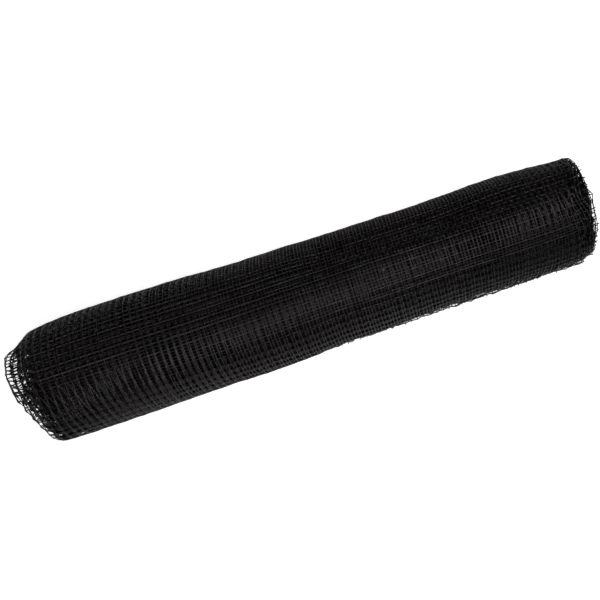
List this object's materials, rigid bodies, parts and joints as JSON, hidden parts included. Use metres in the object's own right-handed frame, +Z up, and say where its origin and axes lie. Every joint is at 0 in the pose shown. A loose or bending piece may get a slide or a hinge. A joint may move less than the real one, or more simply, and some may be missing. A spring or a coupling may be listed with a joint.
{
  "type": "roll of mole netting",
  "caption": "Loosely wound roll of black plastic mesh that keeps moles out of a lawn, lying on its side with a turn slid out at the left end and its loose end along the floor.",
  "frame": {"origin": "on the floor, under the middle of the whole length and the middle of the roll's depth", "axes": "+X along the roll, away from the turn that has slid out; -Y towards the loose end; +Z up from the floor"},
  "size_m": [1.0213, 0.2083, 0.2021],
  "materials": {
    "wound_net": "black extruded plastic threads, layer on layer, with a soft sheen",
    "single_net": "black extruded plastic threads, one open layer, with a soft sheen"
  },
  "bodies": {
    "root": {"net_roll": "wound_net", "slipped_turn": "single_net", "loose_end": "single_net"}
  },
  "joints": []
}
